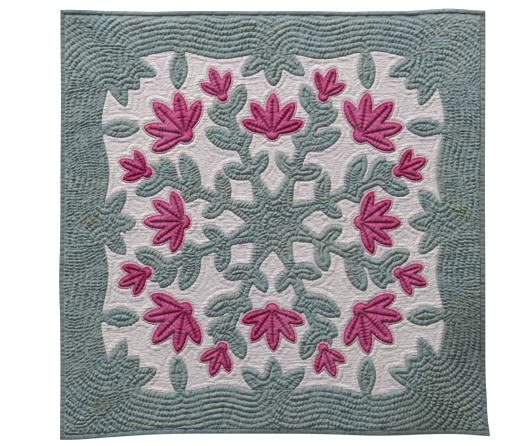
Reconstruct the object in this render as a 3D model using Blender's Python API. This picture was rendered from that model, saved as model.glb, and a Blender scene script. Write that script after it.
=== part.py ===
"""A square hand-quilted quilt, lying flat and face up.

The pieces are the ones its maker cuts and sews: the wadded body with its ground cloth on top, a leaf
border and a leaf medallion cut from folded cloth, sixteen blossoms of two cloths each, and the four
strips that bind the edge. Rows of quilting echo the outline of every leaf and blossom, one row pitch
apart, and the cloth puffs up between them.

Metres, +Z up, +Y towards the quilt's top edge. The origin is under the middle of the quilt, on the
surface that it lies on.
"""

import bmesh
import bpy
import numpy as np
from mathutils import Matrix, Vector, geometry, kdtree

# Driving dimensions of the quilt
WIDTH = 1.068
HEIGHT = 1.063
ROW_PITCH = 0.014
BINDING_WIDTH = 0.012

# Heights of the layers, from the surface up
GAP = 0.0003
BINDING_CLOTH = 0.0012
BODY_FLAT = 0.0030
GROUND_PUFF = 0.0028
PATCH_CLOTH = 0.0010
PATCH_PUFF = 0.0036
PETAL_PUFF = 0.0030
TONGUE_INSET = 0.0018

# The flat plan of the leaves and blossoms
BORDER_EDGE = 0.420
SCALLOP_DEPTH = 0.010
SCALLOP_PITCH = 0.250
ARM_ANGLE = 22.5
ROSETTE_RADIUS = 0.092
ROSETTE_WAVE = 0.022
STEM_WIDTH = 0.027
JOINT_SOFTNESS = 0.007
RIM_WIDTH = 0.0055
PATCH_GAP = 0.0012

ARM_END = 0.335
CALYX_PLACE = 0.318
CALYX_RADIUS = 0.028

ARM_LEAVES = (
    # along the arm, side, spread in degrees, length, width
    (0.122, -1, 50, 0.070, 0.036),
    (0.120, +1, 50, 0.082, 0.040),
    (0.196, +1, 40, 0.108, 0.046),
    (0.190, -1, 34, 0.062, 0.032),
    (0.258, +1, 34, 0.078, 0.036),
    (0.280, -1, 44, 0.092, 0.042),
)
BORDER_LEAVES = (
    # along the side, turn from straight inward in degrees, length, width
    (0.000, 0, 0.092, 0.046),
    (0.000, 50, 0.102, 0.042),
    (0.232, 4, 0.100, 0.046),
)
CORNER_LEAVES = (
    # turn from the diagonal in degrees, length, width
    (0, 0.128, 0.056),
    (22, 0.146, 0.046),
)
BLOSSOMS = (
    # name, distance from the middle, its angle, heading in degrees, size, petals
    ("side", 0.222, 0.0, 0.0, 0.100, "open"),
    ("corner", 0.312, 45.0, 45.0, 0.112, "open"),
    ("bud", 0.340, 21.8, 22.5, 0.074, "bud"),
)
PETALS = {
    # turn from the heading in degrees, length and width as shares of the blossom's size
    "open": ((0, 1.00, 0.31), (35, 0.94, 0.30), (69, 0.82, 0.28)),
    "bud": ((0, 1.00, 0.34), (38, 0.84, 0.30)),
}

# How the edges swell out of straight, and how far the pattern drifts
# place along the edge, reach, height
TOP_SWELL = ((-0.51, 0.060, 0.003), (-0.30, 0.070, -0.002), (0.19, 0.080, -0.002), (0.44, 0.060, 0.006))
BOTTOM_SWELL = ((-0.52, 0.110, 0.015), (-0.38, 0.090, 0.004), (0.26, 0.110, 0.005), (0.54, 0.060, 0.006))
LEFT_SWELL = ((-0.14, 0.090, 0.003), (0.30, 0.120, -0.001), (-0.52, 0.060, 0.001))
RIGHT_SWELL = ((-0.54, 0.045, 0.011), (-0.46, 0.060, 0.004), (0.10, 0.150, -0.001))
DRIFT = 0.0022

# Colours of the cloths, as linear light
GROUND_COLOUR = (0.58, 0.51, 0.53)
LEAF_COLOUR = (0.168, 0.212, 0.212)
RIM_COLOUR = (0.58, 0.25, 0.36)
PETAL_COLOUR = (0.33, 0.055, 0.135)
BINDING_COLOUR = (0.150, 0.190, 0.205)

# How finely the solids follow the plan
PLAN_CELL = 0.003
OUTLINE_TOLERANCE = 0.0022
ROW_TOLERANCE = 0.0040
SMALLEST_ROW = 0.018
EDGE_STEPS = 12
BUD_AREA = 0.012
FAR = 9.0


def remove_everything():
    for old in list(bpy.data.objects):
        bpy.data.objects.remove(old)


def polar(radius, degrees):
    turn = np.radians(degrees)
    return np.array([radius * np.cos(turn), radius * np.sin(turn)])


def fold(x, y):
    """The point's place in the first eighth, as if the cloth were folded in eighths to be cut."""
    x, y = np.abs(x), np.abs(y)
    return np.maximum(x, y), np.minimum(x, y)


def joined(a, b, softness=JOINT_SOFTNESS):
    """The union of two shapes, with their inner corner rounded as far as scissors and needle round it."""
    share = np.clip(0.5 + 0.5 * (b - a) / softness, 0, 1)
    return b + (a - b) * share - softness * share * (1 - share)


def leaf(x, y, base, tip, width, fullness, stalk):
    """How far outside a leaf each point is: below zero inside it. Its widest place moves out with fullness."""
    length = np.hypot(*(tip - base))
    ahead = (tip - base) / length
    along = ((x - base[0]) * ahead[0] + (y - base[1]) * ahead[1]) / length
    across = np.abs((y - base[1]) * ahead[0] - (x - base[0]) * ahead[1])
    inside = np.clip(along, 0, 1)
    half = width / 2 * np.clip(np.sin(np.pi * inside**fullness), 0, 1) ** 0.62
    half = np.maximum(half, np.where(inside < 0.5, stalk / 2, 0))
    beyond = np.abs(along - inside) * length
    return np.where(beyond > 0, np.hypot(np.maximum(across - half, 0), beyond), across - half)


def stem(x, y, angle, start, end):
    """How far outside a straight stem from the middle each point is."""
    ahead = polar(1, angle)
    along = np.clip(x * ahead[0] + y * ahead[1], start, end)
    return np.hypot(x - along * ahead[0], y - along * ahead[1]) - STEM_WIDTH / 2


def blossom(x, y, distance, angle, heading, size, petals, rim):
    """How far outside one blossom each point is, grown by the rim of the paler cloth under it."""
    foot = polar(distance, angle)
    shape = np.hypot(x - foot[0], y - foot[1]) - size * 0.17 - rim
    for turn, length, width in PETALS[petals]:
        for side in (-1, 1):
            tip = foot + polar(length * size + rim, heading + side * turn)
            petal = leaf(x, y, foot, tip, size * width + 2 * rim, 1.35, size * 0.12 + 2 * rim)
            shape = joined(shape, petal, 0.003)
    return shape


def blossom_plan(x, y, rim):
    """All sixteen blossoms as one plan field."""
    x, y = fold(x, y)
    shape = np.full(np.shape(x), FAR)
    for _, distance, angle, heading, size, petals in BLOSSOMS:
        shape = np.minimum(shape, blossom(x, y, distance, angle, heading, size, petals, rim))
    return shape


def rim_plan(x, y):
    return blossom_plan(x, y, RIM_WIDTH)


def petal_plan(x, y):
    return blossom_plan(x, y, 0.0)


def leaf_plan(x, y):
    """The green cloth, which stops short of the blossoms that lie beside it."""
    free = PATCH_GAP - rim_plan(x, y)
    x, y = fold(x, y)
    radius, angle = np.hypot(x, y), np.arctan2(y, x)
    shape = BORDER_EDGE + SCALLOP_DEPTH * np.cos(2 * np.pi * y / SCALLOP_PITCH) - x
    for along, turn, length, width in BORDER_LEAVES:
        base = np.array([BORDER_EDGE + 0.014, along])
        shape = joined(shape, leaf(x, y, base, base + polar(length, 180 - turn), width, 1.1, 0.022))
    for turn, length, width in CORNER_LEAVES:
        base = np.array([BORDER_EDGE + 0.006, BORDER_EDGE + 0.006])
        shape = joined(shape, leaf(x, y, base, base + polar(length, 225 + turn), width, 1.2, 0.014))
    shape = joined(shape, radius - ROSETTE_RADIUS + ROSETTE_WAVE * np.cos(8 * angle))
    shape = joined(shape, stem(x, y, ARM_ANGLE, 0.05, ARM_END))
    calyx = polar(CALYX_PLACE, ARM_ANGLE)
    shape = joined(shape, np.hypot(x - calyx[0], y - calyx[1]) - CALYX_RADIUS)
    for along, side, spread, length, width in ARM_LEAVES:
        base = polar(along, ARM_ANGLE)
        tip = base + polar(length, ARM_ANGLE + side * spread)
        shape = joined(shape, leaf(x, y, base, tip, width, 1.25, 0.016))
    return np.maximum(shape, free)


def swell(along, places):
    """The sum of soft bumps along an edge: each has its place, its reach and its height."""
    total = np.zeros(np.shape(along))
    for place, reach, height in places:
        total = total + height * np.exp(-(((along - place) / reach) ** 2))
    return total


def settled(x, y):
    """Where a point of the flat plan comes to lie on the real quilt, whose hand-sewn edges aren't straight."""
    right = (0.5 + x / WIDTH) ** 2 * swell(y, RIGHT_SWELL)
    left = (0.5 - x / WIDTH) ** 2 * swell(y, LEFT_SWELL)
    top = (0.5 + y / HEIGHT) ** 2 * swell(x, TOP_SWELL)
    bottom = (0.5 - y / HEIGHT) ** 2 * swell(x, BOTTOM_SWELL)
    inside = np.clip(1 - (2 * x / WIDTH) ** 2, 0, 1) * np.clip(1 - (2 * y / HEIGHT) ** 2, 0, 1)
    drift_x = DRIFT * inside * np.sin(17 * y + 1.3) * np.cos(11 * x - 0.4)
    drift_y = DRIFT * inside * np.sin(15 * x - 0.8) * np.cos(13 * y + 0.9)
    return x + right - left + drift_x, y + top - bottom + drift_y


def plan_grid(height):
    """A triangulated grid over the quilt, lifted at each point by a function of its place."""
    grid = bmesh.new()
    cells = int(WIDTH / PLAN_CELL) // 2 * 2 + 1
    bmesh.ops.create_grid(grid, x_segments=cells, y_segments=cells, size=WIDTH / 2)
    bmesh.ops.triangulate(grid, faces=grid.faces[:])
    place = np.array([corner.co[:2] for corner in grid.verts])
    for corner, lift in zip(grid.verts, height(place[:, 0], place[:, 1])):
        corner.co.z = lift
    return grid


def level_lines(grid, level):
    """The lines along which a lifted grid has one height, as lists of points, and whether each closes."""
    every = grid.verts[:] + grid.edges[:] + grid.faces[:]
    cut = bmesh.ops.bisect_plane(grid, geom=every, dist=1e-8, plane_co=(0, 0, level), plane_no=(0, 0, 1))
    beside = {}
    for edge in cut["geom_cut"]:
        if isinstance(edge, bmesh.types.BMEdge):
            here, there = edge.verts
            beside.setdefault(here, []).append(there)
            beside.setdefault(there, []).append(here)
    ends = [corner for corner, others in beside.items() if len(others) == 1]
    lines, used = [], set()
    for start in ends + list(beside):
        line = []
        ahead = [start]
        while ahead:
            here = ahead.pop()
            if here not in used:
                used.add(here)
                line.append(here)
                ahead = [there for there in beside[here] if there not in used][:1]
        if len(line) > 2:
            closed = line[0] in beside[line[-1]]
            lines.append((np.array([corner.co[:2] for corner in line]), closed))
    return lines


def thinned(points, closed, tolerance):
    """The few points of a line that keep it within the tolerance at each of its points."""
    tolerance = np.broadcast_to(tolerance, len(points))
    if closed:
        points = np.vstack([points, points[:1]])
    keep = {0, len(points) - 1}
    spans = [(0, len(points) - 1)]
    if closed:
        farthest = int(np.argmax(np.hypot(*(points - points[0]).T)))
        keep.add(farthest)
        spans = [(0, farthest), (farthest, len(points) - 1)]
    while spans:
        first, last = spans.pop()
        if last - first < 2:
            continue
        chord = points[last] - points[first]
        offset = points[first + 1:last] - points[first]
        away = np.abs(offset[:, 0] * chord[1] - offset[:, 1] * chord[0]) / max(np.hypot(*chord), 1e-9)
        excess = away / tolerance[first + 1:last]
        if excess.max() > 1:
            bend = first + 1 + int(np.argmax(excess))
            keep.add(bend)
            spans += [(first, bend), (bend, last)]
    points = points[sorted(keep)]
    return points[:-1] if closed else points


def clipped(line, closed, limit):
    """The stretches of a row that lie short of the binding."""
    free = np.all(np.abs(line) < limit - 2 * GAP, axis=1)
    if free.all():
        return [(line, closed)]
    if closed:
        line, free = (np.roll(values, -int(np.argmin(free)), axis=0) for values in (line, free))
    stretches = np.split(line, np.flatnonzero(np.diff(free)) + 1)
    return [(stretch, False) for stretch in stretches if len(stretch) > 1 and np.all(np.abs(stretch) < limit)]


def outlines(height, beside):
    """The closed outlines of a plan field, thinned least where the cloth beside them comes close."""
    lines = level_lines(plan_grid(height), 1e-7)
    fine = [line for line, closed in lines if closed and np.ptp(line, axis=0).max() > SMALLEST_ROW]
    thin = []
    for line in fine:
        room = beside(line[:, 0], line[:, 1]) - PATCH_GAP
        thin.append(thinned(line, True, np.clip(PATCH_GAP / 3 + room / 2, PATCH_GAP / 3, OUTLINE_TOLERANCE)))
    return fine, thin


def frame_loop(inset):
    """The quilt's straight-sided edge, some way in from its outer one, with points for its swells."""
    half = np.array([WIDTH / 2 - inset, HEIGHT / 2 - inset])
    share = np.linspace(-1, 1, EDGE_STEPS + 1)[:-1]
    corners = ((-1, -1), (1, -1), (1, 1), (-1, 1))
    sides = []
    for here, there in zip(corners, corners[1:] + corners[:1]):
        middle, reach = np.add(here, there) / 2, np.subtract(there, here) / 2
        sides.append((middle + share[:, None] * reach) * half)
    return np.vstack(sides)


def within(points, loops):
    """Which points lie inside a set of outlines, where an outline inside another is a hole."""
    crossings = np.zeros(len(points), int)
    for loop in loops:
        start, end = loop, np.roll(loop, -1, axis=0)
        for (x0, y0), (x1, y1) in zip(start, end):
            spans = (y0 > points[:, 1]) != (y1 > points[:, 1])
            cut = x0 + (points[:, 1] - y0) * (x1 - x0) / (y1 - y0 if y1 != y0 else 1)
            crossings += spans & (points[:, 0] < cut)
    return crossings % 2 == 1


def covering(loops, lines):
    """Triangles that fill the outlines and have the lines among their edges."""
    points, edges = [], []
    for line, closed in [(loop, True) for loop in loops] + lines:
        first = len(points)
        points += [Vector(place) for place in line]
        edges += [(first + step, first + step + 1) for step in range(len(line) - 1)]
        if closed:
            edges.append((len(points) - 1, first))
    filled = geometry.delaunay_2d_cdt(points, edges, [], 0, 1e-6)
    corners = np.array([place[:] for place in filled[0]])
    triangles = np.array(filled[2])
    inside = within(corners[triangles].mean(axis=1), loops)
    return corners, triangles[inside]


def closed_mesh(name, corners, faces):
    """A mesh from plan corners (x, y, z), laid as the real quilt lies, with its faces turned outward."""
    mesh = bpy.data.meshes.new(name)
    x, y = settled(corners[:, 0], corners[:, 1])
    mesh.from_pydata(np.column_stack([x, y, corners[:, 2]]).tolist(), [], faces)
    work = bmesh.new()
    work.from_mesh(mesh)
    bmesh.ops.remove_doubles(work, verts=work.verts[:], dist=1e-6)
    bmesh.ops.recalc_face_normals(work, faces=work.faces[:])
    work.to_mesh(mesh)
    work.free()
    return mesh


def placed(name, mesh, material):
    piece = bpy.data.objects.new(name, mesh)
    mesh.materials.append(material)
    bpy.context.collection.objects.link(piece)
    return piece


def wall(upper, lower, top, bottom):
    """The corners and faces of a wall between two loops of as many points."""
    count = len(upper)
    corners = np.vstack([np.column_stack([upper, top]), np.column_stack([lower, bottom])])
    faces = []
    for step in range(count):
        after = (step + 1) % count
        faces.append((step, after, count + after, count + step))
    return corners, faces


def assembled(name, parts, material):
    """One closed solid from the corners and faces of its surfaces, which share their rims."""
    corners = np.vstack([part[0] for part in parts])
    faces, first = [], 0
    for part_corners, part_faces in parts:
        faces += [tuple(int(corner) + first for corner in face) for face in part_faces]
        first += len(part_corners)
    return placed(name, closed_mesh(name, corners, faces), material)


def patch(name, loops, rows, underside, puff, relief, material):
    """One sewn-on cloth: flat underneath, and raised on top between its quilting rows."""
    upper, upper_faces = covering(loops, rows)
    height = underside + PATCH_CLOTH + puff * relief(upper)
    parts = [(np.column_stack([upper, height]), upper_faces)]
    lower, lower_faces = covering(loops, [])
    parts.append((np.column_stack([lower, np.full(len(lower), underside)]), lower_faces))
    for loop in loops:
        top = underside + PATCH_CLOTH + puff * relief(loop)
        parts.append(wall(loop, loop, top, np.full(len(loop), underside)))
    return assembled(name, parts, material)


def body(opening, cloths, rows, relief, material):
    """The ground cloth, wadding and backing as one solid, stepped thinner at its edge for the binding."""
    tongue, shoulder = frame_loop(TONGUE_INSET), frame_loop(BINDING_WIDTH + GAP)
    upper, upper_faces = covering([tongue], [(loop, True) for loop in [opening] + cloths] + rows)
    bare = within(upper, [opening]) & ~within(upper, cloths)
    height = BODY_FLAT + GROUND_PUFF * bare * relief(upper)
    lower, lower_faces = covering([shoulder], [])
    level = np.full(len(tongue), BODY_FLAT)
    step = np.full(len(tongue), BINDING_CLOTH + GAP)
    parts = [
        (np.column_stack([upper, height]), upper_faces),
        wall(tongue, tongue, level, step),
        wall(tongue, shoulder, step, step),
        wall(shoulder, shoulder, step, 0 * step),
        (np.column_stack([lower, np.zeros(len(lower))]), lower_faces),
    ]
    return assembled("quilt_body", parts, material)


def binding(name, turn, material):
    """One bound edge: a strip folded round all the layers, mitred where it meets its neighbours."""
    outer = BODY_FLAT + GAP + PATCH_CLOTH + GAP + BINDING_CLOTH
    inner = outer - BINDING_CLOTH
    profile = (
        # inset from the quilt's edge, height
        (BINDING_WIDTH, 0),
        (0.0012, 0),
        (0, 0.0014),
        (0, outer - 0.0014),
        (0.0012, outer),
        (BINDING_WIDTH, outer),
        (BINDING_WIDTH, inner),
        (TONGUE_INSET - GAP, inner),
        (TONGUE_INSET - GAP, BINDING_CLOTH),
        (BINDING_WIDTH, BINDING_CLOTH),
    )
    half = (WIDTH / 2, HEIGHT / 2) if turn % 180 == 0 else (HEIGHT / 2, WIDTH / 2)
    share = np.linspace(-1, 1, EDGE_STEPS + 1)
    rings = []
    for inset, height in profile:
        along = share * (half[0] - inset - GAP / np.sqrt(2))
        out = np.full(len(share), half[1] - inset)
        angle = np.radians(turn)
        x = along * np.cos(angle) - out * np.sin(angle)
        y = along * np.sin(angle) + out * np.cos(angle)
        rings.append(np.column_stack([x, y, np.full(len(share), height)]))
    corners = np.stack(rings, axis=1)
    count = len(profile)
    faces = []
    for step in range(EDGE_STEPS):
        for point in range(count):
            after = (point + 1) % count
            here, there = step * count, (step + 1) * count
            faces.append((here + point, here + after, there + after, there + point))
    faces.append(tuple(range(count)))
    faces.append(tuple(range(EDGE_STEPS * count, EDGE_STEPS * count + count)))
    return placed(name, closed_mesh(name, corners.reshape(-1, 3), faces), material)


def cotton(name, colour, roughness):
    """A plain-woven cotton of one colour."""
    material = bpy.data.materials.new(name)
    material.use_nodes = True
    shader = material.node_tree.nodes["Principled BSDF"]
    shader.inputs["Base Color"].default_value = (*colour, 1)
    shader.inputs["Roughness"].default_value = roughness
    shader.inputs["Metallic"].default_value = 0
    return material


def centre_on_origin():
    """Shift every piece alike, so that the origin is under the middle of the quilt's box."""
    pieces = list(bpy.context.collection.objects)
    corners = np.array([corner.co[:2] for piece in pieces for corner in piece.data.vertices])
    middle = (corners.min(axis=0) + corners.max(axis=0)) / 2
    for piece in pieces:
        piece.data.transform(Matrix.Translation((-middle[0], -middle[1], 0)))


def around(loop):
    """A loop's angle about the middle of the quilt, which numbers the blossoms anticlockwise from +X."""
    middle = loop.mean(axis=0)
    return (np.degrees(np.arctan2(middle[1], middle[0])) + 10) % 360


def main():
    remove_everything()
    ground = cotton("ground_cotton", GROUND_COLOUR, 0.90)
    green = cotton("leaf_cotton", LEAF_COLOUR, 0.88)
    pale = cotton("rim_cotton", RIM_COLOUR, 0.86)
    deep = cotton("petal_cotton", PETAL_COLOUR, 0.84)
    edging = cotton("binding_cotton", BINDING_COLOUR, 0.85)

    fine_leaves, leaves = outlines(leaf_plan, rim_plan)
    fine_rims, rims = outlines(rim_plan, leaf_plan)
    fine_petals, petals = outlines(petal_plan, leaf_plan)
    places = np.vstack(fine_leaves + fine_rims + fine_petals)
    tree = kdtree.KDTree(len(places))
    for number, place in enumerate(places):
        tree.insert((*place, 0), number)
    tree.balance()

    def distance(x, y):
        """How far each point lies from the nearest edge of a cloth."""
        return np.array([tree.find((here, there, 0))[2] for here, there in zip(x, y)])

    def relief(points):
        """The puff between two quilting rows: none on a row, all of it midway to the next."""
        rows_away = distance(points[:, 0], points[:, 1]) / ROW_PITCH
        return np.abs(np.sin(np.pi * rows_away))

    green_rows, ground_rows, petal_rows = [], [], []
    grid = plan_grid(distance)
    deepest = max(corner.co.z for corner in grid.verts)
    for step in range(1, int(deepest / (ROW_PITCH / 2)) + 1):
        for line, closed in level_lines(grid, step * ROW_PITCH / 2):
            x, y = line[:, 0], line[:, 1]
            if np.ptp(line, axis=0).max() < SMALLEST_ROW:
                continue
            row = (thinned(line, closed, ROW_TOLERANCE), closed)
            if petal_plan(x, y).mean() < 0:
                petal_rows.append(row)
            elif leaf_plan(x, y).mean() < 0:
                green_rows.append(row)
            elif rim_plan(x, y).mean() > 0:
                ground_rows.append(row)

    opening = max(leaves, key=np.max)
    medallion = [loop for loop in leaves if loop is not opening]
    body(opening, medallion + rims, ground_rows, relief, ground)

    low = BODY_FLAT + GAP
    edge = frame_loop(TONGUE_INSET)
    limit = np.array([WIDTH / 2 - BINDING_WIDTH, HEIGHT / 2 - BINDING_WIDTH])
    seam = frame_loop(BINDING_WIDTH + GAP)
    border_rows, medallion_rows = [(seam, True)], []
    for line, closed in green_rows:
        if within(line[:1], [opening])[0]:
            medallion_rows.append((line, closed))
        else:
            border_rows += clipped(line, closed, limit)

    def border_relief(points):
        """The border's puff, pressed flat where the binding holds it."""
        room = (limit - GAP - np.abs(points)).min(axis=1)
        return relief(points) * np.clip(room / (ROW_PITCH / 2), 0, 1)

    patch("leaf_border", [edge, opening], border_rows, low, PATCH_PUFF, border_relief, green)
    patch("leaf_medallion", medallion, medallion_rows, low, PATCH_PUFF, relief, green)

    numbers = {"blossom": 0, "bud": 0}
    for rim, petal in zip(sorted(rims, key=around), sorted(petals, key=around)):
        kind = "bud" if np.ptp(rim[:, 0]) * np.ptp(rim[:, 1]) < BUD_AREA else "blossom"
        numbers[kind] += 1
        inner = [row for row in petal_rows if within(row[0][:1], [petal])[0]]
        patch(f"{kind}_rim_{numbers[kind]}", [rim], [], low, 0, relief, pale)
        above = low + PATCH_CLOTH + GAP
        patch(f"{kind}_{numbers[kind]}", [petal], inner, above, PETAL_PUFF, relief, deep)

    for name, turn in (("top", 0), ("left", 90), ("bottom", 180), ("right", 270)):
        binding(f"binding_{name}", turn, edging)
    centre_on_origin()


main()
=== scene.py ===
import math

import bpy
import numpy as np
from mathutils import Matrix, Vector, geometry, kdtree


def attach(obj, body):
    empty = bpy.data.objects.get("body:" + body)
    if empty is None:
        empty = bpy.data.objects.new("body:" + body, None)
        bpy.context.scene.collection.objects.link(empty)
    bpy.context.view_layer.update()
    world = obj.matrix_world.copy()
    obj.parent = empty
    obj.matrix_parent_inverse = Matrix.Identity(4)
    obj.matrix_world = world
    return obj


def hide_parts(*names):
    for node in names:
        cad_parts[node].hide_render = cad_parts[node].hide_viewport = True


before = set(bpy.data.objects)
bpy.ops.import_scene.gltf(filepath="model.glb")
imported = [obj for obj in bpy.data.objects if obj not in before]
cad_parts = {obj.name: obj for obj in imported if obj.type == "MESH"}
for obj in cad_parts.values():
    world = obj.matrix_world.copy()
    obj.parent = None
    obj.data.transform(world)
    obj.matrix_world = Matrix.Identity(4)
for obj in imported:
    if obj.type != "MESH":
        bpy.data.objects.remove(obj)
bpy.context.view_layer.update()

# The quilt's flat plan, in metres: the same values as its solids have
WIDTH = 1.068
HEIGHT = 1.063
HALF = np.array([WIDTH, HEIGHT]) / 2
ROW_PITCH = 0.014
BINDING_WIDTH = 0.012
BORDER_EDGE = 0.42
SCALLOP_DEPTH = 0.01
SCALLOP_PITCH = 0.25
ARM_ANGLE = 22.5
ARM_START = 0.05
ARM_END = 0.335
CALYX_PLACE = 0.318
CALYX_RADIUS = 0.028
ROSETTE_RADIUS = 0.092
ROSETTE_WAVE = 0.022
STEM_WIDTH = 0.027
JOINT_SOFTNESS = 0.007
RIM_WIDTH = 0.0055
PATCH_GAP = 0.0012
MEDALLION_MARGIN = 0.004

ARM_LEAVES = (
    # along the arm, side, spread in degrees, length, width
    (0.122, -1, 50, 0.07, 0.036),
    (0.12, +1, 50, 0.082, 0.04),
    (0.196, +1, 40, 0.108, 0.046),
    (0.19, -1, 34, 0.062, 0.032),
    (0.258, +1, 34, 0.078, 0.036),
    (0.28, -1, 44, 0.092, 0.042),
)
BORDER_LEAVES = (
    # along the side, turn from straight inward in degrees, length, width
    (0.0, 0, 0.092, 0.046),
    (0.0, 50, 0.102, 0.042),
    (0.232, 4, 0.1, 0.046),
)
CORNER_LEAVES = (
    # turn from the diagonal in degrees, length, width
    (0, 0.128, 0.056),
    (22, 0.146, 0.046),
)
# How far towards its tip each kind of leaf is widest, and its stalk's width
ARM_LEAF = 1.25, 0.016
BORDER_LEAF = 1.1, 0.022
CORNER_LEAF = 1.2, 0.014
# How far outside the border's edge its leaves start
BORDER_LEAF_ROOT = 0.014
CORNER_LEAF_ROOT = 0.006

BLOSSOMS = (
    # name, distance from the middle, its angle, heading in degrees, size, petals
    ("side", 0.222, 0.0, 0.0, 0.1, "open"),
    ("corner", 0.312, 45.0, 45.0, 0.112, "open"),
    ("bud", 0.34, 21.8, 22.5, 0.074, "bud"),
)
PETALS = {
    # turn from the heading in degrees, length and width as shares of the blossom's size
    "open": ((0, 1.0, 0.31), (35, 0.94, 0.3), (69, 0.82, 0.28)),
    "bud": ((0, 1.0, 0.34), (38, 0.84, 0.3)),
}
PETAL_FULLNESS = 1.35
PETAL_SOFTNESS = 0.003
# Shares of a blossom's size: the round at its foot, its petals' stalks, and how far ahead its middle lies
FOOT_SHARE = 0.17
STALK_SHARE = 0.12
MIDDLE_SHARE = 0.35

# How the edges swell out of straight: place along the edge, reach, height
TOP_SWELL = ((-0.51, 0.06, 0.003), (-0.3, 0.07, -0.002), (0.19, 0.08, -0.002), (0.44, 0.06, 0.006))
BOTTOM_SWELL = ((-0.52, 0.11, 0.015), (-0.38, 0.09, 0.004), (0.26, 0.11, 0.005), (0.54, 0.06, 0.006))
LEFT_SWELL = ((-0.14, 0.09, 0.003), (0.3, 0.12, -0.001), (-0.52, 0.06, 0.001))
RIGHT_SWELL = ((-0.54, 0.045, 0.011), (-0.46, 0.06, 0.004), (0.1, 0.15, -0.001))
# How far the pattern drifts in slow waves
DRIFT = 0.0022
FAR = 9.0

# Heights above the surface that the quilt lies on
GROUND_FLAT = 0.0022
GROUND_PUFF = 0.0031
PATCH_FLAT = 0.0031
PATCH_PUFF = 0.0057
RIM_FLAT = 0.003
RIM_PUFF = 0.002
PETAL_FLAT = 0.0042
PETAL_PUFF = 0.0046
FOLD_DEPTH = 0.0009
BACK_RELIEF = 0.0011
BACK_EDGE = 0.0012

# The bindings: share of the way round from the sewn front edge to the back, inset, height
BINDING_PROFILE = (
    (0.0, 0.0116, 0.0031), (0.06, 0.012, 0.0039), (0.16, 0.0108, 0.0053), (0.3, 0.0064, 0.0057),
    (0.42, 0.0022, 0.005), (0.52, 0.0, 0.0026), (0.6, 0.0014, 0.0003), (0.64, 0.003, 0.0),
    (1.0, 0.012, 0.0),
)
# The top edge, where the strip lies rounder
TOP_PROFILE = (
    (0.0, 0.0116, 0.0031), (0.06, 0.012, 0.004), (0.12, 0.0115, 0.0055), (0.2, 0.01, 0.0062),
    (0.29, 0.008, 0.0064), (0.4, 0.005, 0.0057), (0.5, 0.0025, 0.0038), (0.56, 0.0008, 0.0017),
    (0.6, 0.0, 0.0003), (0.64, 0.0014, 0.0), (1.0, 0.012, 0.0),
)
BINDING_STEPS = 25
BINDING_SEAM = 0.0031
BINDING_SIDE_SHARE = 0.5
MITRE_REACH = 0.03
# The height at which a binding's crown starts, and over how much it grows
BINDING_CROWN = 0.0029, 0.0026
# For the top and bottom, and for the sides
BINDING_SPACING = (0.01, 0.034), (0.007, 0.017)
BINDING_DEPTH = (0.5, 2.6), (0.9, 2.7)
BINDING_REACH = 0.003
BINDING_END_ROOM = 0.008
# The waves' height for the top, and for the others
BINDING_WAVES = 0.0014, 0.0008
BINDING_WAVE_LAYERS = (0.7, 0.011, 20), (0.6, 0.032, 21)
PLEAT_DEPTH = 0.0012
PLEAT_SHARE = 0.6
PLEAT_SIZE = 0.0075
PLEAT_REACH = 0.45
SEAM_WANDER = 0.0007
SEAM_WANDER_SIZE = 0.007
FRONT_SHARE = 0.1
# How the bindings hold the border's puff down: the reach at the sides and the bottom, and shares at the top
SIDE_HOLD = 0.003
BOTTOM_HOLD = 0.005
TOP_HOLD = (0, 0.003, 0.007, 0.017), (0, 0.2, 0.5, 1)

# Mesh sizes
ROW_CELL = 0.003
BORDER_CELL = 0.0026
MEDALLION_CELL = 0.002
GROUND_CELL = 0.0022
BACK_CELL = 0.005
RIM_CELL = 0.0016
PETAL_CELL = 0.0016
BINDING_CELL = 0.0025
HIDDEN_CELL = 0.012
EDGE_STEP = 0.0007
SEAM_STEP = 0.0006
TRIANGLE_HEIGHT = 0.866
PROBE = 1e-5
BARELY = 1e-12
JOIN_DISTANCE = 2e-5

# How far each cloth stays inside the quilt's edge, and how far cloths reach under each other
LEAF_INSET = 0.002
CLOTH_INSET = 0.0025
GROUND_OVERLAP = 0.004
HIDDEN_MARGIN = 0.006
RIM_OVERLAP = 0.0035
TURN_INSET = 0.0005

# The stitched rows: how they wander, and how high the bands between them puff up
ROW_WANDER = 0.0019
ROW_WANDER_FROM = 0.012
ROW_WANDER_LAYERS = (1.0, 0.07, 1), (0.5, 0.031, 2), (0.55, 0.01, 7)
LOFT_LAYERS = (0.18, 0.04, 3), (0.26, 0.01, 4)
ARCH = 0.62
EDGE_LOFT = 0.74
OPEN_LOFT = 0.5
OPEN_FROM = 0.013
GROUND_CRUMPLE = 0.5
BACK_EDGE_REACH = 0.004
BOUND_SHARE = 0.6
SNAP = 0.42

# The short creases that cross one band
CREASE_COUNT = 400
CREASE_SPACING = (0.007, 0.0105)
CREASE_REACH = 0.0046
CREASE_DEPTH = (0.65, 1.3)
CREASE_LEAN = 0.4
CREASE_SLANT = 0.42
SLANT_SIZE = 0.12
SLANT_SPREAD = 0.7
CREASE_YIELD = 1.35

# The long folds that cross several bands: each direction's turn, share and least alignment
FOLD_WAYS = (3, 1.0, 0.76), (-16, 0.8, 0.85), (-22, 0.6, 0.85), (14, 0.8, 0.85)
FOLD_COUNT = 240
FOLDS_START = 0.95
ALIGNED_SOFTNESS = 0.1
FOLD_SPACING = (0.0058, 0.0094)
FOLD_REACH = 0.0042
FOLD_STRENGTH = (0.75, 1.3)
FOLD_PATCH_LAYERS = ((0.9, 0.03, 50),)
FOLD_WARP = 0.0045
FOLD_WARP_LAYERS = (1.0, 0.075, 30), (0.45, 0.022, 40)
FOLD_SHIFT = 0.0024
FOLD_SHIFT_SIZE = 0.03
FOLD_SLANT = 0.22
FOLD_SLANT_LAYERS = ((0.4, 0.05, 60),)
FOLD_WINS = 0.45
ROW_FILL = 0.85
ROW_FILL_FROM = 0.4
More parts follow.
